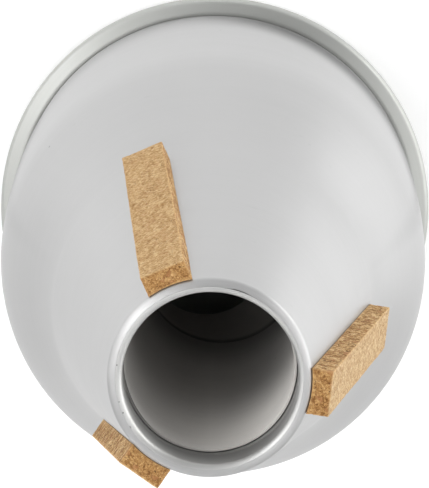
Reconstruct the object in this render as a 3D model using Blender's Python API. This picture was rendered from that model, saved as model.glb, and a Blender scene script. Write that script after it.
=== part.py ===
"""French horn straight mute: a conical neck that widens into a rounded body, a lined mouth, a resonator tube inside,
a closed wide end and three cork strips. Metres, +Z up. The mute stands on its wide end,
its axis on Z, the mouth on top, the origin on the floor under its centre."""

import bmesh
import bpy
from math import cos, hypot, pi, radians, sin, sqrt
from mathutils import Matrix, Vector

MM = 0.001
STEPS = 48                      # facets round each turned piece
GAP = 0.30                      # clearance between touching pieces, mm

# ---- lengths along the axis are depths below the mouth's rim circle, in mm ----
HEIGHT_OF_RIM = 188.8           # height of the mouth's rim circle above the floor

# rolled lip of the mouth
LIP_R = 22.15                   # radius to the centre of the roll
LIP_D = -0.45                   # the roll stands a little proud of the rim circle
LIP_ROLL = 0.90                 # radius of the roll
SLEEVE_R = 21.35                # bore of the shell behind its lip, where the mouth collar sits

# outer profile of the shell: a straight cone, a flare, a shoulder and a slightly crowned barrel
NECK_R = 23.15                  # the cone's radius at the rim circle
CONE_SLOPE = 0.2115             # and how fast it widens
CONE_END = 72.0                 # the cone turns into the flare here
FLARE_END = 112.0               # the flare into the shoulder
FLARE_R = 52.48                 # radius there
FLARE_SLOPE = 0.149             # slope there
SHOULDER_END = 128.0            # and the shoulder into the barrel
BARREL_R = 53.44
BARREL_RISE = 0.0184
BARREL_CROWN = 0.00069          # how fast the barrel rounds over and draws in again
WALL = 0.80                     # sheet thickness of the shell
SHELL_END = 185.4               # lower edge of the shell, inside the end cap's channel

# mouth collar and resonator tube
COLLAR_R = 21.05                # outer radius of the collar
COLLAR_LIP_R = 20.45            # radius to the centre of its rounded front edge
COLLAR_LIP_D = -0.50
COLLAR_LIP_ROLL = 0.60
MOUTH_R = 19.90                 # clear radius of the mouth
COLLAR_STEP = 9.35              # shoulder that the resonator tube stops against
COLLAR_END = 18.0
TUBE_R = 19.60                  # inner radius of the tube
TUBE_WALL = 0.50
TUBE_START = 10.1
TUBE_END = 115.5
TUBE_PIVOT = 17.5               # the tube's axis crosses the shell's axis here
TUBE_LEAN = radians(1.14)       # the tube leans this much towards -X at its far end

# reducer on the tube's far end
SKIRT_START = 106.0
REDUCER_END = 128.6
REDUCER_R = 15.25               # radius of its opening
REDUCER_OFFSET = 4.2            # its opening lies this far off the tube's axis, towards +X

# end cap
BEAD_R = 54.35                  # radius to the centre of the rolled rim
BEAD_ROLL = 2.40
PANEL_LIFT = 2.0                # the panel is this far above the foot ring
PANEL_T = 1.2
CHANNEL_Z = 3.1                 # floor of the channel that holds the shell's edge
PLUG_R = 51.15                  # wall that stands inside the shell
PLUG_TOP = 8.0

# cork strips: straight bars along the cone
CORK_LENGTH = 71.9
CORK_WIDTH = 10.75
CORK_T = 4.62                   # thickness along the middle of the strip
CORKS = {                       # azimuth in degrees, depth of the end near the mouth
    "cork_strip_front": (292.9, -1.1),
    "cork_strip_left": (173.3, -0.95),
    "cork_strip_rear": (54.55, -0.2),
}
CORK_STATIONS = 6
CORK_ACROSS = 4


def height(depth):
    return HEIGHT_OF_RIM - depth


def blend(d, d0, r0, m0, d1, r1, m1):
    """A smooth curve from (d0, r0) to (d1, r1) with the slopes m0 and m1."""
    h = d1 - d0
    t = (d - d0) / h
    return ((2 * t ** 3 - 3 * t ** 2 + 1) * r0 + (t ** 3 - 2 * t ** 2 + t) * h * m0
            + (-2 * t ** 3 + 3 * t ** 2) * r1 + (t ** 3 - t ** 2) * h * m1)


def shell_radius(d):
    """Outer radius of the shell at depth d."""
    if d <= CONE_END:
        return NECK_R + CONE_SLOPE * d
    if d <= FLARE_END:
        return blend(d, CONE_END, NECK_R + CONE_SLOPE * CONE_END, CONE_SLOPE, FLARE_END, FLARE_R, FLARE_SLOPE)
    if d <= SHOULDER_END:
        return blend(d, FLARE_END, FLARE_R, FLARE_SLOPE, SHOULDER_END, BARREL_R, BARREL_RISE)
    e = d - SHOULDER_END
    return BARREL_R + BARREL_RISE * e - BARREL_CROWN * e * e


def shell_slope(d):
    return (shell_radius(d + 0.01) - shell_radius(d - 0.01)) / 0.02


def arc(cr, cd, r, a0, a1, n):
    """Points (radius, depth) on an arc about (cr, cd). Angle 0 points outwards, 90 towards the mouth."""
    return [(cr + r * cos(radians(a0 + (a1 - a0) * i / n)), cd - r * sin(radians(a0 + (a1 - a0) * i / n)))
            for i in range(n + 1)]


def material(name, colour, roughness, metallic):
    m = bpy.data.materials.new(name)
    m.use_nodes = True
    b = m.node_tree.nodes["Principled BSDF"]
    b.inputs["Base Color"].default_value = (*colour, 1.0)
    b.inputs["Roughness"].default_value = roughness
    b.inputs["Metallic"].default_value = metallic
    m.diffuse_color = (*colour, 1.0)
    return m


def finish(name, bm, mat, sharp=35.0):
    bmesh.ops.recalc_face_normals(bm, faces=bm.faces)
    mesh = bpy.data.meshes.new(name)
    bm.to_mesh(mesh)
    bm.free()
    mesh.materials.append(mat)
    mesh.shade_smooth()
    mesh.set_sharp_from_angle(angle=radians(sharp))
    ob = bpy.data.objects.new(name, mesh)
    bpy.context.scene.collection.objects.link(ob)
    return ob


def turned(name, profile, mat, zero=0.0, on_axis=False, shift=None):
    """Turns a profile of (radius, depth) points in mm about Z. Depth zero is put at the object's own
    origin. The profile is a closed loop, or, with on_axis, an open one with both ends on the axis."""
    bm = bmesh.new()
    vs = [bm.verts.new((r * MM, 0.0, (zero - d) * MM)) for r, d in profile]
    pairs = list(zip(vs, vs[1:])) + ([] if on_axis else [(vs[-1], vs[0])])
    es = [bm.edges.new(p) for p in pairs]
    bmesh.ops.spin(bm, geom=vs + es, cent=(0, 0, 0), axis=(0, 0, 1), angle=2 * pi, steps=STEPS, use_merge=False,
                   use_duplicate=False)
    bmesh.ops.remove_doubles(bm, verts=bm.verts, dist=2e-6)
    if shift:
        for v in bm.verts:
            v.co.x += shift(zero - v.co.z / MM) * MM
    return finish(name, bm, mat)


def build():
    for ob in list(bpy.data.objects):
        bpy.data.objects.remove(ob, do_unlink=True)

    shell_mat = material("spun_aluminium", (0.62, 0.63, 0.63), 0.34, 1.0)
    collar_mat = material("collar_aluminium", (0.66, 0.66, 0.66), 0.28, 1.0)
    tube_mat = material("tube_aluminium", (0.50, 0.49, 0.47), 0.42, 1.0)
    reducer_mat = material("reducer_aluminium", (0.44, 0.43, 0.42), 0.45, 1.0)
    cap_mat = material("cap_aluminium", (0.60, 0.61, 0.59), 0.32, 1.0)
    cork_mat = material("agglomerate_cork", (0.62, 0.40, 0.20), 0.85, 0.0)

    # ---- shell: rolled lip, cone, flare, shoulder and barrel in one spun sheet ----
    lip = arc(LIP_R, LIP_D, LIP_ROLL, 0, 180, 8)
    outer = [(shell_radius(d), d) for d in [1.2, 18, 36, 54, CONE_END, 76, 80.5, 85, 91, 97, 102, 106, 109.5, 113, 117, 121.5,
                                            SHOULDER_END, 141, 155, 168, 179]]
    outer += [(shell_radius(184.0), 184.0), (shell_radius(184.0), SHELL_END)]
    inner = []
    for d in [184.0, 170, 155, 141, SHOULDER_END, 121, 115.5, 110.5, 105, 98, 91, 84, 78, CONE_END, 52, 31, 11.0]:
        inner.append((shell_radius(d) - WALL * hypot(1, shell_slope(d)), d))
    profile = list(reversed(lip)) + outer + [(inner[0][0], SHELL_END)] + inner + [(SLEEVE_R, 6.5), (SLEEVE_R, 0.5)]
    shell = turned("body_shell", profile, shell_mat, zero=HEIGHT_OF_RIM)

    # ---- mouth collar: lines the lip, and stops the tube ----
    recess = TUBE_R + TUBE_WALL + 0.35
    profile = ([(COLLAR_R, COLLAR_END), (COLLAR_R, 0.9), (COLLAR_R - 0.1, 0.3)]
               + arc(COLLAR_LIP_R, COLLAR_LIP_D, COLLAR_LIP_ROLL, 35, 180, 6)
               + [(MOUTH_R, 0.4), (MOUTH_R, COLLAR_STEP), (recess, COLLAR_STEP), (recess, COLLAR_END)])
    turned("mouth_collar", profile, collar_mat, zero=HEIGHT_OF_RIM)

    # ---- resonator tube and its reducer share one leaning axis ----
    lean = Matrix.Translation((0, 0, height(TUBE_PIVOT) * MM)) @ Matrix.Rotation(TUBE_LEAN, 4, "Y")
    ro = TUBE_R + TUBE_WALL
    tube = turned("resonator_tube", [(ro, TUBE_START), (ro, TUBE_END), (TUBE_R, TUBE_END), (TUBE_R, TUBE_START)],
                  tube_mat, zero=TUBE_PIVOT)
    tube.matrix_world = lean

    skirt = ro + GAP
    k = hypot(REDUCER_END - TUBE_END, TUBE_R - REDUCER_R)
    nr, nd = (REDUCER_END - TUBE_END) / k * 0.7, (TUBE_R - REDUCER_R) / k * 0.7
    profile = [(skirt, SKIRT_START), (skirt, TUBE_END + GAP), (TUBE_R, TUBE_END + GAP), (REDUCER_R, REDUCER_END),
               (REDUCER_R + nr, REDUCER_END + nd), (TUBE_R + nr + 0.2, TUBE_END + GAP + nd + 0.2),
               (skirt + 0.6, TUBE_END - 0.4), (skirt + 0.6, SKIRT_START)]
    reducer = turned("tube_reducer", profile, reducer_mat, zero=TUBE_PIVOT,
                     shift=lambda d: REDUCER_OFFSET * min(max((d - TUBE_END - 1.0) / (REDUCER_END - TUBE_END - 1.0), 0.0), 1.0))
    reducer.matrix_world = lean

    # ---- end cap: recessed panel, foot ring, rolled rim and the wall that plugs the shell ----
    floor = HEIGHT_OF_RIM
    bead = arc(BEAD_R, floor - BEAD_ROLL, BEAD_ROLL, -90, 135, 10)
    groove_r = shell_radius(184.0) + GAP + 0.05
    profile = ([(0.0, floor - PANEL_LIFT), (46.5, floor - PANEL_LIFT), (48.6, floor - 1.5), (50.2, floor - 0.3),
                (51.2, floor)] + bead
               + [(groove_r, floor - 3.9), (groove_r, floor - CHANNEL_Z), (PLUG_R, floor - CHANNEL_Z), (PLUG_R, floor - PLUG_TOP),
                  (PLUG_R - 0.8, floor - PLUG_TOP), (PLUG_R - 0.8, floor - 4.6), (49.6, floor - 3.5),
                  (47.5, floor - PANEL_LIFT - PANEL_T), (0.0, floor - PANEL_LIFT - PANEL_T)])
    turned("end_cap", profile, cap_mat, zero=HEIGHT_OF_RIM, on_axis=True)

    # ---- cork strips: flat outside, hollowed underneath to the cone ----
    slant = hypot(1, CONE_SLOPE)
    n_r, n_d = 1 / slant, -CONE_SLOPE / slant                            # outward normal of the cone
    for name, (azimuth, start) in CORKS.items():
        a = radians(azimuth)
        out, along = Vector((cos(a), sin(a), 0)), Vector((-sin(a), cos(a), 0))
        bm = bmesh.new()
        rows = []
        for i in range(CORK_STATIONS + 1):
            d = start + CORK_LENGTH / slant * i / CORK_STATIONS
            r = NECK_R + CONE_SLOPE * d
            low, top = [], []
            for j in range(CORK_ACROSS + 1):
                u = (j / CORK_ACROSS - 0.5) * CORK_WIDTH
                rest = max(r, LIP_R + LIP_ROLL)                          # clears the rolled lip at its near end
                under = sqrt(rest * rest - u * u) + GAP * n_r
                low.append(bm.verts.new((out * under + along * u + Vector((0, 0, height(d + GAP * n_d)))) * MM))
                rt = r + (CORK_T + GAP) * n_r
                top.append(bm.verts.new((out * rt + along * u + Vector((0, 0, height(d + (CORK_T + GAP) * n_d)))) * MM))
            rows.append(low + list(reversed(top)))
        for p, q in zip(rows, rows[1:]):
            for j in range(len(p)):
                m = (j + 1) % len(p)
                bm.faces.new((p[j], p[m], q[m], q[j]))
        bm.faces.new(rows[0])
        bm.faces.new(list(reversed(rows[-1])))
        finish(name, bm, cork_mat, sharp=30.0)
    return shell


build()
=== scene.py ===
from math import cos, hypot, pi, radians, sin, sqrt, tan

import bpy
import numpy as np
from mathutils import Matrix, Vector, noise


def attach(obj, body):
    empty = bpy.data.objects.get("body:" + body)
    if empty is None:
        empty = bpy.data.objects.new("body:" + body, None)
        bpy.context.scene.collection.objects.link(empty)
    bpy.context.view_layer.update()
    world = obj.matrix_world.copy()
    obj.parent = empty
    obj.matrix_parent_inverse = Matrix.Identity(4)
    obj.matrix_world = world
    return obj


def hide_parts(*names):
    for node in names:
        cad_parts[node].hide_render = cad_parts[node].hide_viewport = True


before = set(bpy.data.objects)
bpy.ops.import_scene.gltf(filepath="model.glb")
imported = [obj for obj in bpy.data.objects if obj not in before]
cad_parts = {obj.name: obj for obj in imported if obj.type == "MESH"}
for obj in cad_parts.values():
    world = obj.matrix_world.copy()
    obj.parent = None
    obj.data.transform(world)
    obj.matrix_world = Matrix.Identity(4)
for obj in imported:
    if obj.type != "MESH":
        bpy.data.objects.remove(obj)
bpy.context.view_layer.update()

MM = 0.001

# ------------------------------------------------------------------ shape, as in the construction
RIM_Z = 188.8                  # height of the mouth's rim circle; depths count down from it
LIP_R, LIP_D, LIP_ROLL = 22.15, -0.45, 0.90
SLEEVE_R = 21.215
NECK_R, CONE_SLOPE, CONE_END = 23.15, 0.2115, 72.0
FLARE_END, FLARE_R, FLARE_SLOPE = 112.0, 52.48, 0.149
SHOULDER_END, BARREL_R, BARREL_RISE, BARREL_CROWN = 128.0, 53.44, 0.0184, 0.00069
WALL = 0.80
TUBE_R, TUBE_WALL, TUBE_START, TUBE_END, TUBE_PIVOT, TUBE_LEAN = 19.60, 0.50, 10.1, 115.5, 17.5, radians(1.14)
REDUCER_END, REDUCER_R, REDUCER_OFFSET = 128.6, 15.25, 4.2
BEAD_R, BEAD_ROLL = 54.35, 2.40
CORK_LENGTH, CORK_WIDTH, CORK_T = 71.9, 10.75, 4.62
CORKS = {"cork_strip_front": (292.9, -1.1), "cork_strip_left": (173.3, -0.95), "cork_strip_rear": (54.55, -0.2)}


def blend(d, d0, r0, m0, d1, r1, m1):
    h = d1 - d0
    t = (d - d0) / h
    return ((2 * t ** 3 - 3 * t ** 2 + 1) * r0 + (t ** 3 - 2 * t ** 2 + t) * h * m0
            + (-2 * t ** 3 + 3 * t ** 2) * r1 + (t ** 3 - t ** 2) * h * m1)


def shell_radius(d):
    if d <= CONE_END:
        return NECK_R + CONE_SLOPE * d
    if d <= FLARE_END:
        return blend(d, CONE_END, NECK_R + CONE_SLOPE * CONE_END, CONE_SLOPE, FLARE_END, FLARE_R, FLARE_SLOPE)
    if d <= SHOULDER_END:
        return blend(d, FLARE_END, FLARE_R, FLARE_SLOPE, SHOULDER_END, BARREL_R, BARREL_RISE)
    e = d - SHOULDER_END
    return BARREL_R + BARREL_RISE * e - BARREL_CROWN * e * e


def shell_slope(d):
    return (shell_radius(d + 0.01) - shell_radius(d - 0.01)) / 0.02


def arc(cr, cd, r, a0, a1, n):
    return [(cr + r * cos(radians(a0 + (a1 - a0) * i / n)), cd - r * sin(radians(a0 + (a1 - a0) * i / n)))
            for i in range(n + 1)]


def densify(points, step):
    """Adds points along straight runs longer than step."""
    out = [points[0]]
    for (r0, d0), (r1, d1) in zip(points, points[1:]):
        n = max(1, int(hypot(r1 - r0, d1 - d0) / step))
        out += [(r0 + (r1 - r0) * i / n, d0 + (d1 - d0) * i / n) for i in range(1, n + 1)]
    return out


def rounded(points, radius, n=4, closed=False):
    """Rounds the corners of a profile with small arcs (as quadratic curves)."""
    out = []
    m = len(points)
    for i, p in enumerate(points):
        if not closed and i in (0, m - 1):
            out.append(p)
            continue
        a, b = np.array(points[i - 1]), np.array(points[(i + 1) % m])
        p = np.array(p)
        la, lb = np.linalg.norm(a - p), np.linalg.norm(b - p)
        k = min(radius, la * 0.45, lb * 0.45)
        pa, pb = p + (a - p) / la * k, p + (b - p) / lb * k
        for j in range(n + 1):
            t = j / n
            q = pa * (1 - t) ** 2 + p * 2 * t * (1 - t) + pb * t * t
            out.append((float(q[0]), float(q[1])))
    return out


# ------------------------------------------------------------------ meshes
def link(name, mesh, mat, node, sharp=40.0, smooth=True):
    mesh.materials.append(mat)
    if smooth:
        mesh.shade_smooth()
        mesh.set_sharp_from_angle(angle=radians(sharp))
    ob = bpy.data.objects.new(name, mesh)
    bpy.context.scene.collection.objects.link(ob)
    return ob


def lathe(name, profile, mat, seg=256, zero=RIM_Z, on_axis=False, wobble=None, sink=None, shift=None, sharp=40.0):
    """Turns a profile of (radius, depth) points about Z: a closed loop, or with on_axis an open line from axis to axis.
    wobble adds to the radius and sink to the depth; both take the angle, the depth and the radius."""
    pts = np.array(profile, float)
    n = len(pts)
    th = np.arange(seg) * 2 * pi / seg
    r, d = pts[:, 0][:, None], pts[:, 1][:, None]
    rr = r + (wobble(th[None, :], d, r) * (r > 1e-6) if wobble else np.zeros((n, seg)))
    x, y = rr * np.cos(th), rr * np.sin(th)
    z = np.broadcast_to(zero - d, rr.shape) - (sink(th[None, :], d, r) if sink else 0.0)
    if shift is not None:
        x = x + shift(pts[:, 1])[:, None]
    co = np.stack([x, y, z], -1).reshape(-1, 3) * MM
    faces = []
    rows = n - 1 if on_axis else n
    start = 1 if on_axis else 0
    stop = n - 2 if on_axis else n
    idx = np.arange(n * seg).reshape(n, seg)
    for i in range(start, stop):
        a, b = idx[i], idx[(i + 1) % n]
        faces += list(zip(a, np.roll(a, -1), np.roll(b, -1), b))
    verts = co
    if on_axis:
        top, bottom = len(co), len(co) + 1
        verts = np.vstack([co, [[0, 0, (zero - pts[0, 1]) * MM]], [[0, 0, (zero - pts[-1, 1]) * MM]]])
        a, b = idx[1], idx[n - 2]
        faces += [(top, int(a[(k + 1) % seg]), int(a[k])) for k in range(seg)]
        faces += [(bottom, int(b[k]), int(b[(k + 1) % seg])) for k in range(seg)]
        used = np.ones(len(verts), bool)
        used[idx[0]] = used[idx[n - 1]] = False
        remap = np.cumsum(used) - 1
        verts = verts[used]
        faces = [tuple(int(remap[v]) for v in f) for f in faces]
    else:
        faces = [tuple(int(v) for v in f) for f in faces]
    mesh = bpy.data.meshes.new(name)
    mesh.from_pydata([tuple(v) for v in verts], [], faces)
    mesh.validate()
    # outward faces: the signed volume tells which way they turn
    mesh.calc_loop_triangles()
    tri = np.array([t.vertices for t in mesh.loop_triangles])
    v = np.array([p.co for p in mesh.vertices])
    vol = np.einsum("ij,ij->i", v[tri[:, 0]], np.cross(v[tri[:, 1]], v[tri[:, 2]])).sum()
    if vol < 0:
        mesh.flip_normals()
    return link(name, mesh, mat, name, sharp)


# ------------------------------------------------------------------ shader helpers
class Tree:
    def __init__(self, name):
        self.mat = bpy.data.materials.new(name)
        self.mat.use_nodes = True
        self.t = self.mat.node_tree
        self.bsdf = self.t.nodes["Principled BSDF"]
        self.obj = self.node("ShaderNodeTexCoord").outputs["Object"]

    def node(self, kind, **props):
        n = self.t.nodes.new(kind)
        for k, v in props.items():
            setattr(n, k, v)
        return n

    def put(self, socket, value):
        if isinstance(value, bpy.types.NodeSocket):
            self.t.links.new(value, socket)
        else:
            socket.default_value = value

    def math(self, op, a, b=None, c=None, clamp=False):
        n = self.node("ShaderNodeMath", operation=op, use_clamp=clamp)
        for s, v in zip(n.inputs, (a, b, c)):
            if v is not None:
                self.put(s, v)
        return n.outputs[0]

    def vmath(self, op, a, b=None, scale=None):
        n = self.node("ShaderNodeVectorMath", operation=op)
        self.put(n.inputs[0], a)
        if b is not None:
            self.put(n.inputs[1], b)
        if scale is not None:
            self.put(n.inputs["Scale"], scale)
        return n.outputs["Value" if op in ("LENGTH", "DOT_PRODUCT", "DISTANCE") else "Vector"]

    def noise(self, vec, scale, detail=3.0, rough=0.5, distortion=0.0, out="Fac"):
        n = self.node("ShaderNodeTexNoise")
        self.put(n.inputs["Vector"], vec)
        self.put(n.inputs["Scale"], scale)
        self.put(n.inputs["Detail"], detail)
        self.put(n.inputs["Roughness"], rough)
        self.put(n.inputs["Distortion"], distortion)
        return n.outputs[out]

    def voronoi(self, vec, scale, feature="F1", out="Distance", randomness=1.0):
        n = self.node("ShaderNodeTexVoronoi", feature=feature)
        self.put(n.inputs["Vector"], vec)
        self.put(n.inputs["Scale"], scale)
        self.put(n.inputs["Randomness"], randomness)
        return n.outputs[out]

    def ramp(self, fac, stops, interpolation="LINEAR"):
        n = self.node("ShaderNodeValToRGB")
        n.color_ramp.interpolation = interpolation
        e = n.color_ramp.elements
        while len(e) < len(stops):
            e.new(0.5)
        for el, (p, c) in zip(e, stops):
            el.position = p
            el.color = (*c, 1.0) if len(c) == 3 else c
        self.put(n.inputs["Fac"], fac)
        return n.outputs["Color"]

    def mix(self, fac, a, b, blend="MIX"):
        n = self.node("ShaderNodeMix", data_type="RGBA", blend_type=blend)
        self.put(n.inputs[0], fac)
        self.put(n.inputs[6], a if isinstance(a, bpy.types.NodeSocket) else (*a, 1.0))
        self.put(n.inputs[7], b if isinstance(b, bpy.types.NodeSocket) else (*b, 1.0))
        return n.outputs[2]

    def span(self, x, a, b, lo=0.0, hi=1.0, soft=False):
        n = self.node("ShaderNodeMapRange", clamp=True, interpolation_type="SMOOTHSTEP" if soft else "LINEAR")
        for s, v in zip(n.inputs, (x, a, b, lo, hi)):
            self.put(s, v)
        return n.outputs[0]

    def xyz(self, vec):
        n = self.node("ShaderNodeSeparateXYZ")
        self.put(n.inputs[0], vec)
        return n.outputs

    def join(self, x, y, z):
        n = self.node("ShaderNodeCombineXYZ")
        for s, v in zip(n.inputs, (x, y, z)):
            self.put(s, v)
        return n.outputs[0]

    def mapped(self, vec, rot, scale):
        n = self.node("ShaderNodeMapping", vector_type="POINT")
        self.put(n.inputs["Vector"], vec)
        n.inputs["Rotation"].default_value = rot
        n.inputs["Scale"].default_value = scale
        return n.outputs[0]

    def bump(self, height, strength, distance, under=None):
        n = self.node("ShaderNodeBump")
        self.put(n.inputs["Height"], height)
        n.inputs["Strength"].default_value = strength
        n.inputs["Distance"].default_value = distance
        if under is not None:
            self.put(n.inputs["Normal"], under)
        return n.outputs[0]


def turned_metal(name, base, rough, metallic=1.0, lines=1.0, scratches=1.0, specks=1.0, seed=0.0, tint=(1.0, 1.0, 1.0),
                 fan=0.7, shade=None, marks=()):
    """Satin spun aluminium: fine rings left by the spinning tool, faint scratches, handling smudges and tiny pits.
    shade returns a factor of painted light and shade for the brightness, from the tree, the direction and the position;
    marks are (angle, radius, height, size) of tiny dark openings in mm."""
    t = Tree(name)
    shifted = t.vmath("ADD", t.obj, (seed * 0.37, seed * 0.11, 0.0))
    x, y, z = t.xyz(t.obj)
    rad = t.math("MAXIMUM", t.math("SQRT", t.math("ADD", t.math("MULTIPLY", x, x), t.math("MULTIPLY", y, y))), 1e-5)
    cx, sy = t.math("DIVIDE", x, rad), t.math("DIVIDE", y, rad)
    run = t.math("ADD", t.math("MULTIPLY", z, 1.0), t.math("MULTIPLY", rad, 0.8))       # grows along any profile
    ring_vec = t.join(t.math("MULTIPLY", cx, 1.1), t.math("MULTIPLY", sy, 1.1), t.math("MULTIPLY", run, 2600.0))
    ring_fine = t.noise(ring_vec, 1.0, 2.0, 0.6)
    ring_vec2 = t.join(t.math("MULTIPLY", cx, 0.6), t.math("MULTIPLY", sy, 0.6), t.math("MULTIPLY", run, 420.0))
    ring_wide = t.noise(ring_vec2, 1.0, 2.0, 0.5)
    grain = t.noise(shifted, 3800.0, 2.0, 0.6)
    smudge = t.noise(shifted, 24.0, 4.0, 0.55)
    cloud = t.noise(shifted, 75.0, 3.0, 0.6)

    # faint scratches: stretched noise in a few directions, cut to its crests and masked in patches
    cuts = None
    for i, (rot, freq) in enumerate([((0.3, 0.9, 0.4), 700.0), ((1.2, -0.5, 2.1), 900.0), ((-0.7, 0.3, -1.3), 620.0)]):
        v = t.mapped(shifted, rot, (18.0, freq, freq))
        crest = t.span(t.noise(v, 1.0, 1.0, 0.4), 0.735, 0.80)
        patch = t.span(t.noise(t.vmath("ADD", shifted, (i * 1.7, 0.3, 0.9)), 38.0, 1.0, 0.5), 0.50, 0.62)
        c = t.math("MULTIPLY", crest, patch)
        cuts = c if cuts is None else t.math("MAXIMUM", cuts, c)

    # tiny pits and specks, few and uneven
    cell = t.node("ShaderNodeTexVoronoi", feature="F1")
    t.put(cell.inputs["Vector"], shifted)
    cell.inputs["Scale"].default_value = 190.0
    near = t.span(cell.outputs["Distance"], 0.035, 0.075, 1.0, 0.0)
    pick = t.span(t.xyz(cell.outputs["Color"])[0], 0.955, 0.96)
    pit = t.math("MULTIPLY", near, pick)

    value = t.math("ADD", 1.0, t.math("MULTIPLY", t.math("SUBTRACT", smudge, 0.5), 0.055))
    value = t.math("ADD", value, t.math("MULTIPLY", t.math("SUBTRACT", ring_wide, 0.5), 0.035 * lines))
    value = t.math("ADD", value, t.math("MULTIPLY", t.math("SUBTRACT", cloud, 0.5), 0.02))
    value = t.math("SUBTRACT", value, t.math("MULTIPLY", pit, 0.32 * specks))
    value = t.math("SUBTRACT", value, t.math("MULTIPLY", cuts, 0.05 * scratches))
    # painted light and shade: the shade factor scales the colour
    if shade:
        value = t.math("MULTIPLY", value, shade(t, cx, sy, rad, z))
    for angle, radius, height, size in marks:
        spot = (radius * cos(radians(angle)) * MM, radius * sin(radians(angle)) * MM, height * MM)
        away = t.vmath("DISTANCE", t.obj, spot)
        value = t.math("MULTIPLY", value, t.span(away, 0.4 * size * MM, size * MM, 0.35, 1.0, soft=True))
    colour = t.join(t.math("MULTIPLY", value, base * tint[0]), t.math("MULTIPLY", value, base * tint[1]),
                    t.math("MULTIPLY", value, base * tint[2]))
    t.put(t.bsdf.inputs["Base Color"], colour)
    t.bsdf.inputs["Metallic"].default_value = metallic
    # grooves run round the axis, so reflections spread along the profile and fan out from the mouth
    t.bsdf.inputs["Anisotropic"].default_value = fan
    t.bsdf.inputs["Anisotropic Rotation"].default_value = 0.25
    t.put(t.bsdf.inputs["Tangent"], t.node("ShaderNodeTangent", direction_type="RADIAL", axis="Z").outputs[0])
    r = t.math("ADD", rough, t.math("MULTIPLY", t.math("SUBTRACT", smudge, 0.5), 0.16))
    r = t.math("ADD", r, t.math("MULTIPLY", t.math("SUBTRACT", cloud, 0.5), 0.07))
    r = t.math("ADD", r, t.math("MULTIPLY", t.math("SUBTRACT", ring_fine, 0.5), 0.10 * lines))
    r = t.math("ADD", r, t.math("MULTIPLY", pit, 0.3), clamp=True)
    t.put(t.bsdf.inputs["Roughness"], r)
    h = t.math("ADD", t.math("MULTIPLY", ring_fine, 0.75 * lines), t.math("MULTIPLY", grain, 0.25))
    h = t.math("ADD", h, t.math("MULTIPLY", ring_wide, 1.6 * lines))
    h = t.math("SUBTRACT", h, t.math("MULTIPLY", cuts, 1.2 * scratches))
    h = t.math("SUBTRACT", h, t.math("MULTIPLY", pit, 4.0 * specks))
    t.put(t.bsdf.inputs["Normal"], t.bump(h, 1.0, 0.0000045))
    return t.mat


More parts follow.
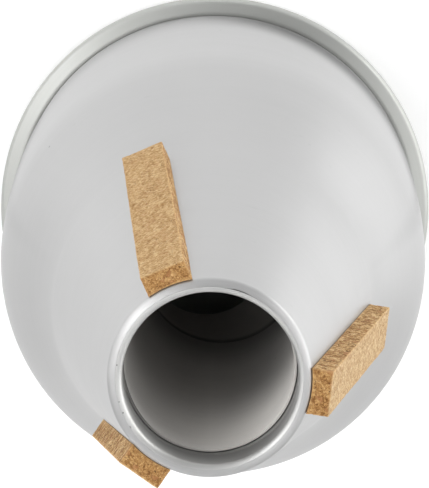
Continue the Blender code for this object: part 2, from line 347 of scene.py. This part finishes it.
def cork_material(name, seed=0.0, face_tone=(0.83, 0.83, 0.83)):
    """Agglomerated cork: pressed granules of several tans, bark flecks and dark joints. The outer face is sanded across."""
    t = Tree(name)
    # the strip's own coordinates in metres: along it, across it and out from the shell
    own = t.node("ShaderNodeAttribute", attribute_type="GEOMETRY", attribute_name="strip").outputs["Vector"]
    face = t.node("ShaderNodeAttribute", attribute_type="GEOMETRY", attribute_name="outer").outputs["Fac"]
    edge = t.node("ShaderNodeAttribute", attribute_type="GEOMETRY", attribute_name="edge").outputs["Fac"]
    p = t.vmath("ADD", own, (seed * 0.31, seed * 0.17, seed * 0.05))
    warp = t.noise(p, 900.0, 2.0, 0.5, out="Color")
    q = t.vmath("ADD", p, t.vmath("SCALE", t.vmath("SUBTRACT", warp, (0.5, 0.5, 0.5)), scale=0.0008))
    big = t.node("ShaderNodeTexVoronoi", feature="F1")
    t.put(big.inputs["Vector"], q)
    big.inputs["Scale"].default_value = 820.0
    bigc = t.xyz(big.outputs["Color"])
    small = t.node("ShaderNodeTexVoronoi", feature="F1")
    t.put(small.inputs["Vector"], q)
    small.inputs["Scale"].default_value = 2100.0
    smallc = t.xyz(small.outputs["Color"])
    seam = t.voronoi(q, 820.0, "DISTANCE_TO_EDGE")
    seam_s = t.voronoi(q, 2100.0, "DISTANCE_TO_EDGE")
    cloud = t.noise(p, 210.0, 3.0, 0.55)
    crumb = t.noise(q, 3600.0, 2.0, 0.6)
    x, y, z = t.xyz(q)
    streak = t.noise(t.join(t.math("MULTIPLY", x, 3100.0), t.math("MULTIPLY", y, 1050.0), t.math("MULTIPLY", z, 2200.0)), 1.0, 2.0, 0.6)

    # cut sides and ends: whole granules, strong contrast
    tone = t.math("ADD", t.math("ADD", t.math("MULTIPLY", bigc[0], 0.24), 0.06), t.math("MULTIPLY", smallc[0], 0.42))
    tone = t.math("ADD", tone, t.math("MULTIPLY", t.math("SUBTRACT", crumb, 0.5), 1.15))
    tone = t.math("ADD", tone, t.math("MULTIPLY", t.math("SUBTRACT", cloud, 0.5), 0.35))
    # the long sides show the pressed layers as dark and light bars across the thickness
    long_side = t.math("MULTIPLY", t.span(face, 0.0, 1.0, 1.0, 0.0), t.span(t.xyz(own)[0], 0.0003, 0.0012, 0.0, 1.0))
    layer = t.noise(t.join(t.math("MULTIPLY", x, 1150.0), t.math("MULTIPLY", y, 300.0), t.math("MULTIPLY", z, 430.0)), 1.0, 3.0, 0.6)
    tone = t.math("ADD", tone, t.math("MULTIPLY", t.math("MULTIPLY", long_side, t.math("SUBTRACT", layer, 0.5)), 1.9))
    cut = t.ramp(tone, [(0.02, (0.200, 0.092, 0.030)), (0.22, (0.360, 0.205, 0.082)), (0.42, (0.500, 0.310, 0.138)),
                        (0.62, (0.600, 0.405, 0.200)), (0.85, (0.700, 0.520, 0.300))])
    # sanded outer face: short streaks across the strip, low contrast
    tone_f = t.math("ADD", 0.5, t.math("MULTIPLY", t.math("SUBTRACT", streak, 0.5), 2.6))
    tone_f = t.math("ADD", tone_f, t.math("MULTIPLY", t.math("SUBTRACT", smallc[0], 0.5), 0.45))
    tone_f = t.math("ADD", tone_f, t.math("MULTIPLY", t.math("SUBTRACT", bigc[0], 0.5), 0.25))
    tone_f = t.math("ADD", tone_f, t.math("MULTIPLY", t.math("SUBTRACT", cloud, 0.5), 0.35))
    sanded = t.ramp(tone_f, [(0.05, (0.360, 0.205, 0.085)), (0.32, (0.490, 0.310, 0.146)), (0.55, (0.580, 0.388, 0.198)),
                             (0.78, (0.650, 0.455, 0.248)), (0.97, (0.720, 0.535, 0.325))])
    end = t.span(t.xyz(own)[0], 0.0003, 0.0008, 1.0, 0.0)
    cut = t.mix(1.0, cut, t.mix(end, (1.06, 1.07, 1.05), (0.86, 0.76, 0.61)), blend="MULTIPLY")
    sanded = t.mix(1.0, sanded, face_tone, blend="MULTIPLY")
    base = t.mix(face, cut, sanded)
    # bark flecks, nearly black in the cut faces; some granules are red-brown bark
    grit = t.noise(t.vmath("ADD", q, (0.7, 0.1, 0.4)), 2500.0, 1.0, 0.5)
    fleck = t.math("MULTIPLY", t.span(grit, 0.625, 0.67), t.span(t.noise(p, 300.0, 1.0, 0.5), 0.40, 0.58, 0.25, 1.0))
    fleck = t.math("MULTIPLY", fleck, t.span(face, 0.0, 1.0, 0.95, 0.50))
    bar = t.noise(t.join(t.math("MULTIPLY", x, 1400.0), t.math("MULTIPLY", y, 400.0), t.math("MULTIPLY", z, 520.0)), 1.0, 1.0, 0.5)
    fleck = t.math("MAXIMUM", fleck, t.math("MULTIPLY", long_side, t.math("MULTIPLY", t.span(bar, 0.665, 0.715), 0.85)))
    base = t.mix(fleck, base, (0.070, 0.028, 0.010))
    red = t.math("MULTIPLY", t.span(bigc[1], 0.84, 0.86), t.span(face, 0.0, 1.0, 0.50, 0.16))
    base = t.mix(red, base, (0.330, 0.135, 0.058))
    dark_line = t.math("MULTIPLY", t.span(seam, 0.0, 0.07, 1.0, 0.0), t.span(face, 0.0, 1.0, 0.50, 0.12))
    joint_s = t.math("MULTIPLY", t.span(seam_s, 0.0, 0.09, 1.0, 0.0), t.span(face, 0.0, 1.0, 0.42, 0.14))
    base = t.mix(t.math("MAXIMUM", dark_line, joint_s), base, (0.170, 0.075, 0.026))
    base = t.mix(t.math("MULTIPLY", edge, 0.34), base, (0.760, 0.500, 0.245))
    t.put(t.bsdf.inputs["Base Color"], base)
    fine = t.noise(p, 5200.0, 3.0, 0.6)
    t.put(t.bsdf.inputs["Roughness"], t.math("ADD", 0.80, t.math("MULTIPLY", fine, 0.15)))
    t.bsdf.inputs["Specular IOR Level"].default_value = 0.25
    h = t.math("ADD", t.math("MULTIPLY", fine, 0.4), t.math("MULTIPLY", t.span(seam, 0.0, 0.10), 0.8))
    h = t.math("ADD", h, t.math("MULTIPLY", t.span(seam_s, 0.0, 0.16), 0.5))
    h = t.math("ADD", h, t.math("MULTIPLY", streak, 0.8))
    h = t.math("SUBTRACT", h, t.math("MULTIPLY", fleck, 1.3))
    t.put(t.bsdf.inputs["Normal"], t.bump(h, 0.9, 0.00006))
    return t.mat


# ------------------------------------------------------------------ materials
def crease_shade(t, cx, sy, rad, z):
    """Painted shade: the barrel is painted darker towards the rim, in a band that widens on its two flanks; the far
    side is painted a touch darker too.
    """
    def facing(azimuth, low, high):
        dot = t.math("ADD", t.math("MULTIPLY", cx, cos(radians(azimuth))), t.math("MULTIPLY", sy, sin(radians(azimuth))))
        return t.span(dot, low, high, 0.0, 1.0, soft=True)
    front = t.math("MULTIPLY", sy, -1.0)
    band = t.math("MULTIPLY", t.math("SUBTRACT", z, 0.0042), t.math("MULTIPLY", front, 0.216))
    band = t.math("MULTIPLY", t.span(band, 0.0015, 0.0060, 1.0, 0.0, soft=True), t.span(band, 0.0, 0.0012, 0.35, 1.0, soft=True))
    strength = t.math("ADD", 0.15, t.math("MULTIPLY", facing(215, 0.45, 0.90), 0.42))
    strength = t.math("ADD", strength, t.math("MULTIPLY", facing(337, 0.975, 0.999), 0.26))
    strength = t.math("MULTIPLY", strength, t.span(front, 0.17, 0.34, 0.0, 1.0, soft=True))
    # painted shade: darker in the band above the rim, and a touch darker on the far side
    painted_shade = t.math("SUBTRACT", 1.0, t.math("MULTIPLY", strength, band))
    return t.math("MULTIPLY", painted_shade, t.math("SUBTRACT", 1.0, t.math("MULTIPLY", t.math("ADD", sy, 1.0), 0.052)))


def collar_shade(t, cx, sy, rad, z):
    """Painted light: the mouth's wall is painted brighter towards the lip."""
    # painted light on the inner wall, strongest at the lip, a touch darker deep inside
    inner = t.span(rad, 0.0198, 0.0204, 1.0, 0.0, soft=True)
    return t.math("ADD", 1.0, t.math("MULTIPLY", inner, t.span(z, (RIM_Z - 6.5) * MM, (RIM_Z - 0.4) * MM, -0.05, 0.72)))


def tube_shade(t, cx, sy, rad, z):
    """Painted shade: darker towards the far end and on one side."""
    depth = t.math("SUBTRACT", RIM_Z * MM, z)
    # painted shade: one side darker, and darker with depth
    left, right_ = t.math("MAXIMUM", cx, 0.0), t.math("MAXIMUM", t.math("MULTIPLY", cx, -1.0), 0.0)
    value = t.math("SUBTRACT", 1.0, t.math("MULTIPLY", left, 0.42))
    value = t.math("MULTIPLY", value, t.span(depth, 0.085, 0.116, 1.0, 0.62, soft=True))
    value = t.math("MULTIPLY", value, t.math("SUBTRACT", 1.0, t.math("MULTIPLY", right_, t.span(depth, 0.025, 0.065, 0.0, 0.34, soft=True))))
    # painted shade: the dark line behind the dented edge
    edge_shade = t.node("ShaderNodeAttribute", attribute_type="GEOMETRY", attribute_name="dark_line").outputs["Fac"]
    return t.math("MULTIPLY", value, t.math("SUBTRACT", 1.0, t.math("MULTIPLY", edge_shade, 0.60)))


def reducer_shade(t, cx, sy, rad, z):
    """Painted shade: a dark line in the gap where the narrowing end meets the tube."""
    gap_shade = t.node("ShaderNodeAttribute", attribute_type="GEOMETRY", attribute_name="dark_line").outputs["Fac"]
    return t.math("SUBTRACT", 1.0, t.math("MULTIPLY", gap_shade, 0.60))


shell_mat = turned_metal("shell_metal", 0.480, 0.43, lines=0.8, seed=1.0, shade=crease_shade)
collar_mat = turned_metal("collar_metal", 0.50, 0.42, lines=1.0, scratches=0.6, seed=2.0, tint=(1.0, 1.0, 0.985), shade=collar_shade,
                          marks=((351.3, 21.04, 190.1, 0.26), (14.7, 21.03, 190.1, 0.20), (22.0, 21.00, 190.1, 0.26)))
tube_mat = turned_metal("tube_metal", 0.68, 0.75, lines=1.6, scratches=0.4, seed=3.0, tint=(1.0, 0.972, 0.935), fan=0.8,
                        shade=tube_shade)
reducer_mat = turned_metal("reducer_metal", 0.50, 0.60, metallic=0.35, lines=1.4, scratches=0.4, seed=4.0, tint=(1.0, 0.955, 0.91),
                           shade=reducer_shade)
cap_mat = turned_metal("cap_metal", 0.51, 0.50, lines=1.0, seed=5.0, tint=(0.985, 1.0, 0.962))
FACE_TONES = ((0.85, 0.83, 0.765), (0.89, 0.935, 0.99), (1.13, 1.14, 1.06))
cork_mats = {n: cork_material("cork_" + n.split("_")[-1], seed=i + 1.0, face_tone=FACE_TONES[i])
             for i, n in enumerate(CORKS)}


def turn(th, centre):
    """Signed angle in degrees from centre, both counted about the axis."""
    return (np.degrees(th) - centre + 180.0) % 360.0 - 180.0


def sink_shell(th, d, r):
    """On one side the shell's lip lies a little below the collar's edge."""
    side = np.exp(-(turn(th, 250.0) / 40.0) ** 2)
    return side * (0.20 + 0.30 * np.clip((r - 21.25) / 1.0, 0, 1)) * np.clip(1.0 - d / 5.0, 0, 1) * (r > 21.2) * (d < 5.0) \
        * np.where(r < 21.9, np.clip((0.4 - d) / 0.6, 0, 1), 1.0)


def wobble_shell(th, d, r):
    """The sheet's slight unevenness after spinning, in mm, and a short open stretch of the seam on the lip."""
    open_seam = 0.15 * np.exp(-(turn(th, 251.5) / 6.0) ** 4) * (r < 21.35) * (d < -0.5)
    return open_seam + (0.035 * np.sin(2 * th + 0.6 + d * 0.012) + 0.020 * np.sin(3 * th - 1.1 + d * 0.021)
            + 0.010 * np.sin(7 * th + 0.4 - d * 0.035) + 0.008 * np.sin(d * 0.21 + 2 * th)) * np.clip((d - 4.0) / 30.0, 0, 1) \
        * np.clip((184.0 - d) / 15.0, 0, 1)


# ------------------------------------------------------------------ shell
SEAM_R, LIP_TOP, LIP_IN, LIP_OUT = 21.20, -1.33, 1.34, 1.92         # the lip is one soft roll, split at its crest by the seam


def roll(a0, a1, n):
    """The lip's roll from angle a0 to a1: 180 is its inner foot, 90 the crest, 0 its outer foot."""
    out = []
    for i in range(n + 1):
        a = radians(a0 + (a1 - a0) * i / n)
        out.append((SEAM_R + (LIP_OUT if cos(a) > 0 else LIP_IN) * cos(a), -0.05 + (LIP_TOP + 0.05) * sin(a)))
    return out


lip = [(SEAM_R + 0.010, -1.10), (SEAM_R + 0.011, -1.295), (SEAM_R + 0.022, -1.325)] + roll(88.0, 8.3, 40)
depths = np.concatenate([np.linspace(0.0, 3.0, 10), np.linspace(4.0, CONE_END - 2.0, 68), np.linspace(CONE_END - 1.5, SHOULDER_END, 76),
                         np.linspace(SHOULDER_END + 0.8, 184.6, 70)])
outer = [(shell_radius(float(d)), float(d)) for d in depths]
low_in = shell_radius(184.6) - WALL
inner = [(shell_radius(float(d)) - WALL * hypot(1, shell_slope(float(d))), float(d))
         for d in np.concatenate([np.linspace(184.6, SHOULDER_END, 18), np.linspace(SHOULDER_END - 2, CONE_END - 2, 30),
                                  np.linspace(CONE_END - 6, 12.0, 16)])]
shell_profile = lip + outer + [(outer[-1][0] - 0.1, 185.4), (low_in, 185.4)] + inner + [(SLEEVE_R + 0.05, 6.6), (SLEEVE_R, 6.0),
                                                                                        (SLEEVE_R, 0.6), (SEAM_R + 0.015, 0.0)]
shell = lathe("shell", shell_profile, shell_mat, seg=480, wobble=wobble_shell, sink=sink_shell)
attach(shell, "root"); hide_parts("body_shell")

# ------------------------------------------------------------------ mouth collar
collar_profile = ([(21.05, 18.0), (21.05, 1.0), (SEAM_R - 0.03, 0.3), (SEAM_R - 0.010, -1.10), (SEAM_R - 0.011, -1.295),
                   (SEAM_R - 0.022, -1.325)] + roll(92.0, 180.0, 36)
                  + [(19.86, 0.2), (19.88, 1.6), (19.92, 4.0), (19.93, 9.0), (19.98, 9.32), (20.10, 9.38),
                     (20.45, 9.38), (20.45, 18.0)])


def wobble_collar(th, d, r):
    """The mouth opening is a touch off the lip's centre."""
    return 0.20 * np.cos(th - radians(150)) * np.clip((21.05 - r) / 1.15, 0, 1) * (d < 9.2)


collar = lathe("collar", densify(collar_profile, 0.6), collar_mat, seg=384, wobble=wobble_collar)
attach(collar, "root"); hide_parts("mouth_collar")

# ------------------------------------------------------------------ tube and reducer
lean = Matrix.Translation((0, 0, (RIM_Z - TUBE_PIVOT) * MM)) @ Matrix.Rotation(TUBE_LEAN, 4, "Y")
TUBE_LIP = TUBE_START - 0.15
tube_profile = rounded([(TUBE_R, TUBE_END), (TUBE_R, 19.0), (TUBE_R - 0.05, 15.0), (TUBE_R - 0.12, 12.3), (TUBE_R - 0.22, TUBE_LIP),
                        (TUBE_R + 0.28, TUBE_LIP), (TUBE_R + 0.40, 12.3), (TUBE_R + TUBE_WALL, 17.0), (TUBE_R + TUBE_WALL, TUBE_END)],
                       0.08, closed=True)


def wobble_tube(th, d, r):
    """A shallow dent in the tube's near edge."""
    a = (th - radians(24) + pi) % (2 * pi) - pi
    return -0.24 * np.exp(-(a / radians(19)) ** 2) * np.exp(-np.clip(d - TUBE_START, 0, None) / 2.6) * np.clip((20.2 - r) / 0.4, 0, 1)


tube_points = []
for p, q in zip(tube_profile, tube_profile[1:] + tube_profile[:1]):
    tube_points += densify([p, q], 0.4 if max(p[1], q[1]) <= 19.1 else 2.5)[:-1]
tube = lathe("tube", tube_points, tube_mat, seg=384, zero=TUBE_PIVOT, wobble=wobble_tube, sharp=30)
# painted shade: a thin dark line along the dented edge
around = np.exp(-(turn(np.arange(384) * 2 * pi / 384, 24.0) / 24.0) ** 4)
along = np.array([1.0 if r < TUBE_R - 0.12 and d < TUBE_LIP + 0.16 else 0.0 for r, d in tube_points])
tube.data.attributes.new("dark_line", "FLOAT", "POINT").data.foreach_set("value", np.outer(along, around).ravel().astype(np.float32))
tube.data.transform(lean)
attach(tube, "root"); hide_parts("resonator_tube")


def reducer_shift(d):
    return REDUCER_OFFSET * np.clip((d - TUBE_END - 1.0) / (REDUCER_END - TUBE_END - 1.0), 0, 1)


k = hypot(REDUCER_END - TUBE_END, TUBE_R - REDUCER_R)
nr, nd = (REDUCER_END - TUBE_END) / k * 0.6, (TUBE_R - REDUCER_R) / k * 0.6
reducer_profile = rounded([(20.4, 106.0), (20.4, TUBE_END + 0.3), (TUBE_R + 0.15, TUBE_END + 0.3), (REDUCER_R, REDUCER_END),
                           (REDUCER_R + nr, REDUCER_END + nd), (TUBE_R + nr + 0.2, TUBE_END + 0.3 + nd + 0.2),
                           (21.0, TUBE_END - 0.4), (21.0, 106.0)], 0.15, closed=True)
reducer_points = densify(reducer_profile + [reducer_profile[0]], 0.5)[:-1]
reducer = lathe("reducer", reducer_points, reducer_mat, seg=320, zero=TUBE_PIVOT, shift=reducer_shift, sharp=30)
# painted shade: the first two millimetres of the narrowing end, in the gap behind the tube
dark_line = np.array([np.clip((TUBE_END + 2.0 - d) / 0.9, 0, 1) if TUBE_END < d and r < 19.9 else 0.0 for r, d in reducer_points])
reducer.data.attributes.new("dark_line", "FLOAT", "POINT").data.foreach_set("value", np.repeat(dark_line, 320).astype(np.float32))
reducer.data.transform(lean)
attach(reducer, "root"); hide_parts("tube_reducer")

# ------------------------------------------------------------------ end cap with the rolled rim
F = RIM_Z
LEDGE_OUT, LEDGE_IN, LEDGE_TILT = 55.80, 53.55, radians(11.0)
panel = [(0.0, F - 2.0), (12.0, F - 2.0), (24.0, F - 2.0), (36.0, F - 2.0), (46.5, F - 2.0), (47.6, F - 1.85), (48.6, F - 1.5),
         (49.5, F - 0.8), (50.2, F - 0.3), (50.8, F - 0.07), (51.4, F)]
# the rim: round below and outside, a ledge that slopes gently outwards, and a soft round down to the barrel
EDGE = BEAD_R + BEAD_ROLL
DROP = (LEDGE_OUT - LEDGE_IN) * tan(LEDGE_TILT)


def ledge_round(t):
    """From the rim's outer edge (t = 0) up to the ledge (t = 1): the direction of the curve turns from upright to the ledge's slope."""
    a = radians(90) - (radians(90) - LEDGE_TILT) * t
    return a


turns = [ledge_round(i / 30) for i in range(31)]
run_r = np.concatenate([[0], np.cumsum([cos((p + q) / 2) for p, q in zip(turns, turns[1:])])])
run_d = np.concatenate([[0], np.cumsum([sin((p + q) / 2) for p, q in zip(turns, turns[1:])])])
run_r, run_d = run_r / run_r[-1] * (EDGE - LEDGE_OUT), run_d / run_d[-1] * (BEAD_ROLL - DROP)
inner_turns = [LEDGE_TILT - (LEDGE_TILT + radians(40)) * (i / 16) ** 1.2 for i in range(17)]
in_r = np.concatenate([[0], np.cumsum([cos((p + q) / 2) for p, q in zip(inner_turns, inner_turns[1:])])])
in_d = np.concatenate([[0], np.cumsum([-sin((p + q) / 2) for p, q in zip(inner_turns, inner_turns[1:])])])
grow = (LEDGE_IN - 52.30) / in_r[-1]
bead = (arc(BEAD_R, F - BEAD_ROLL, BEAD_ROLL, -90, 0, 26)
        + [(EDGE - r, F - BEAD_ROLL - d) for r, d in zip(run_r[1:], run_d[1:])]
        + [(LEDGE_OUT - (LEDGE_OUT - LEDGE_IN) * t, F - 2 * BEAD_ROLL + DROP * (1 - t)) for t in (0.25, 0.5, 0.75, 1.0)]
        + [(LEDGE_IN - r * grow, F - 2 * BEAD_ROLL + d * grow) for r, d in zip(in_r[1:], in_d[1:])])
fold = [(52.29, F - 3.60), (52.27, F - 3.40), (52.25, F - 3.22)]
plug = [(51.40, F - 3.1), (51.20, F - 3.3), (51.15, F - 7.9), (50.95, F - 8.0), (50.45, F - 8.0), (50.35, F - 7.8), (50.35, F - 4.7),
        (50.0, F - 3.9), (49.4, F - 3.45), (47.5, F - 3.2), (30.0, F - 3.2), (12.0, F - 3.2), (0.0, F - 3.2)]
cap = lathe("cap", densify(panel + bead + fold + plug, 1.5), cap_mat, seg=384, on_axis=True)
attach(cap, "root"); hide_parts("end_cap")


# ------------------------------------------------------------------ cork strips
SLANT = hypot(1, CONE_SLOPE)
N_R, N_D = 1 / SLANT, -CONE_SLOPE / SLANT               # outward normal of the cone, as (radius, depth)


def cork_strip(name, azimuth, start, seed, skew, near, far):
    """One glued strip. skew in degrees turns it a little on the cone; near and far are its widths at its two ends."""
    a0 = radians(azimuth)
    out, side = np.array([cos(a0), sin(a0), 0.0]), np.array([-sin(a0), cos(a0), 0.0])
    na, nu, nc = 250, 38, 17
    off = Vector((seed * 13.7, seed * 5.1, seed * 2.3))

    def place(a, v, c):
        """a along the strip in mm, v across it from -0.5 to 0.5, c from 0 on the shell to 1 on the outer face."""
        d = start + a / SLANT
        r = NECK_R + CONE_SLOPE * d
        rest = max(r, LIP_R + LIP_ROLL)
        u = v * (near + (far - near) * a / CORK_LENGTH)
        shift = -radians(skew) * (a - CORK_LENGTH / 2) + 0.10 * noise.noise(Vector((a * 0.07, seed * 3.1, v * 1.2)))
        w = u + shift
        low_r, low_d = sqrt(rest * rest - w * w) + 0.05, d
        thick = CORK_T + 0.10 + 0.07 * noise.noise(Vector((a * 0.09, v * 2.0, seed)))
        top_r, top_d = r + thick * N_R, d + thick * N_D
        rr, dd = low_r + (top_r - low_r) * c, low_d + (top_d - low_d) * c
        return out * rr + side * w + np.array([0.0, 0.0, RIM_Z - dd])

    verts, index, info = [], {}, []

    def vert(i, j, k):
        if (i, j, k) not in index:
            index[(i, j, k)] = len(verts)
            verts.append(place(CORK_LENGTH * i / na, j / nu - 0.5, k / nc))
            info.append((i, j, k))
        return index[(i, j, k)]

    faces = []
    for i in range(na):
        for j in range(nu):
            faces.append((vert(i, j, nc), vert(i + 1, j, nc), vert(i + 1, j + 1, nc), vert(i, j + 1, nc)))
            faces.append((vert(i, j, 0), vert(i, j + 1, 0), vert(i + 1, j + 1, 0), vert(i + 1, j, 0)))
        for k in range(nc):
            faces.append((vert(i, 0, k), vert(i + 1, 0, k), vert(i + 1, 0, k + 1), vert(i, 0, k + 1)))
            faces.append((vert(i, nu, k), vert(i, nu, k + 1), vert(i + 1, nu, k + 1), vert(i + 1, nu, k)))
    for j in range(nu):
        for k in range(nc):
            faces.append((vert(0, j, k), vert(0, j, k + 1), vert(0, j + 1, k + 1), vert(0, j + 1, k)))
            faces.append((vert(na, j, k), vert(na, j + 1, k), vert(na, j + 1, k + 1), vert(na, j, k + 1)))
    mesh = bpy.data.meshes.new(name)
    mesh.from_pydata([tuple(v * MM) for v in verts], [], faces)
    mesh.validate()
    mesh.calc_loop_triangles()
    tri = np.array([t.vertices for t in mesh.loop_triangles])
    v = np.array(verts)
    w = v - v.mean(0)
    if np.einsum("ij,ij->i", w[tri[:, 0]], np.cross(w[tri[:, 1]], w[tri[:, 2]])).sum() < 0:
        mesh.flip_normals()
    normals = np.array([p.vector for p in mesh.vertex_normals])

    # distances in mm to the strip's long and end edges, and to the outer face
    ijk = np.array(info, float)
    a, u, c = ijk[:, 0] / na * CORK_LENGTH, np.abs(ijk[:, 1] / nu - 0.5) * CORK_WIDTH, ijk[:, 2] / nc * CORK_T
    to_end, to_side, to_face, to_low = np.minimum(a, CORK_LENGTH - a), CORK_WIDTH / 2 - u, CORK_T - c, c
    gaps = np.sort(np.stack([to_end, to_side, np.minimum(to_face, to_low)], 1), axis=1)
    edge_distance = gaps[:, 1]                      # second smallest: zero on an edge
    moved = v.copy()
    for n_, p in enumerate(v):
        q = Vector(p)
        low = c[n_] < 0.6
        # the cut edges: rounded over by an uneven amount, with a chip here and there
        size = 0.26 + 0.30 * max(0.0, noise.noise((q + off) * 0.55)) + 0.75 * max(0.0, noise.noise((q + off) * 1.25) - 0.10)
        e = edge_distance[n_]
        pull = max(0.0, size - e) ** 2 / (2.0 * size)
        # granules stand a little high or low; the joints between them are grooves
        dist, _ = noise.voronoi(q * 0.80 + off)
        groove = max(0.0, 0.15 - (dist[1] - dist[0])) / 0.15
        cell = noise.noise((q + off) * 0.9)
        rough = noise.noise((q + off) * 2.4)
        hole = max(0.0, noise.noise((q + off) * 1.15 + Vector((7, 3, 1))) - 0.40)
        depth = 0.055 * groove - 0.045 * cell - 0.04 * rough + 1.1 * hole
        if low:
            depth = max(depth, 0.0) * 0.4
            pull *= 0.35
        moved[n_] = p - normals[n_] * (0.03 + depth + pull * 0.8)
    mesh.vertices.foreach_set("co", (moved * MM).ravel())
    outer_attr = mesh.attributes.new("outer", "FLOAT", "POINT")
    outer_attr.data.foreach_set("value", np.clip(1.0 - to_face / 0.35, 0, 1).astype(np.float32))
    edge_attr = mesh.attributes.new("edge", "FLOAT", "POINT")
    jag = np.array([noise.noise(Vector(p) * 1.1 + off) for p in v])
    edge_attr.data.foreach_set("value", np.clip(1.0 - edge_distance / (0.42 + 0.30 * jag), 0, 1).astype(np.float32))
    own_attr = mesh.attributes.new("strip", "FLOAT_VECTOR", "POINT")
    own = np.stack([a, (ijk[:, 1] / nu - 0.5) * CORK_WIDTH, c], 1) * MM
    own_attr.data.foreach_set("vector", own.astype(np.float32).ravel())
    mesh.update()
    ob = link(name.replace("_strip", ""), mesh, cork_mats[name], name, sharp=180.0)
    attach(ob, "root"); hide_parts(name)
    return ob


SHAPES = {"cork_strip_front": (-0.14, 10.75, 10.45), "cork_strip_left": (-0.48, 10.70, 10.40), "cork_strip_rear": (0.0, 10.70, 10.60)}
for i, (name, (azimuth, start)) in enumerate(CORKS.items()):
    cork_strip(name, azimuth, start, i + 1.0, *SHAPES[name])

# ------------------------------------------------------------------ floor
bpy.ops.mesh.primitive_plane_add(size=6.0, location=(0, 0, 0))
floor = bpy.context.object
floor.name = "floor"
tf = Tree("floor_paper")
n1 = tf.noise(tf.obj, 2.0, 3.0, 0.5)
tf.put(tf.bsdf.inputs["Base Color"], tf.mix(n1, (0.96, 0.96, 0.96), (0.98, 0.98, 0.98)))
tf.bsdf.inputs["Roughness"].default_value = 0.9
tf.bsdf.inputs["Specular IOR Level"].default_value = 0.1
tf.bsdf.inputs["Emission Color"].default_value = (1.0, 1.0, 1.0, 1.0)
tf.bsdf.inputs["Emission Strength"].default_value = 0.07
floor.data.materials.append(tf.mat)

# ------------------------------------------------------------------ camera
cam_data = bpy.data.cameras.new("camera")
cam_data.sensor_fit = "HORIZONTAL"
cam_data.sensor_width = 36.0
cam_data.lens = 373.34
cam_data.clip_start = 0.01
cam_data.clip_end = 20.0
camera = bpy.data.objects.new("camera", cam_data)
bpy.context.scene.collection.objects.link(camera)
right, up_v, back = Vector((-0.99998, 0.001318, -0.006108)), Vector((0, -0.977498, -0.210947)), Vector((-0.006248, -0.210943, 0.977478))
rot = Matrix((right, up_v, back)).transposed()
camera.matrix_world = Matrix.Translation((-0.00735, -0.24027, 1.15994)) @ rot.to_4x4()
bpy.context.scene.camera = camera

# ------------------------------------------------------------------ light
world = bpy.data.worlds.new("studio")
bpy.context.scene.world = world
world.use_nodes = True
world.node_tree.nodes["Background"].inputs["Color"].default_value = (1.0, 1.0, 1.0, 1.0)
world.node_tree.nodes["Background"].inputs["Strength"].default_value = 0.18

# a tent of soft panels: its rings' height angles, the panels' sizes in metres, and their watts every 30 degrees of the
# picture (every 90 at the top), counted anticlockwise from its right
RINGS = (
    (4, (0.66, 0.36), (2.5, 2.9, 1.0, 1.2, 0.95, 0.9, 0.15, 0, 0, 0, 0, 0)),
    (26, (0.60, 0.46), (2.4, 2.2, 0.5, 0.5, 0.6, 1.8, 1.9, 1.0, 2.6, 1.9, 1.35, 1.65)),
    (50, (0.44, 0.46), (1.2, 0.35, 0.4, 0.6, 0.9, 2.0, 0.45, 0.95, 0, 0, 0.65, 0.45)),
    (73, (0.40, 0.40), (0.4, 0, 2.4, 1.15)),
)
TENT_R, TENT_Z = 1.25, 0.10
for height, size, watts in RINGS:
    for i, power in enumerate(watts):
        if not power:
            continue
        a, e = 2 * pi * i / len(watts), radians(height)
        data = bpy.data.lights.new(f"panel_{height}_{i}", "AREA")
        data.shape = "RECTANGLE"
        data.size, data.size_y = size
        data.energy = power
        ob = bpy.data.objects.new(data.name, data)
        bpy.context.scene.collection.objects.link(ob)
        ob.location = (-cos(a) * cos(e) * TENT_R, -sin(a) * cos(e) * TENT_R, TENT_Z + sin(e) * TENT_R)
        ob.rotation_euler = (Vector((0, 0, TENT_Z)) - ob.location).to_track_quat("-Z", "Y").to_euler()
        ob.visible_camera = False

view = bpy.context.scene.view_settings
view.view_transform = "Standard"
view.look = "None"
view.exposure = 0.0
view.gamma = 1.0
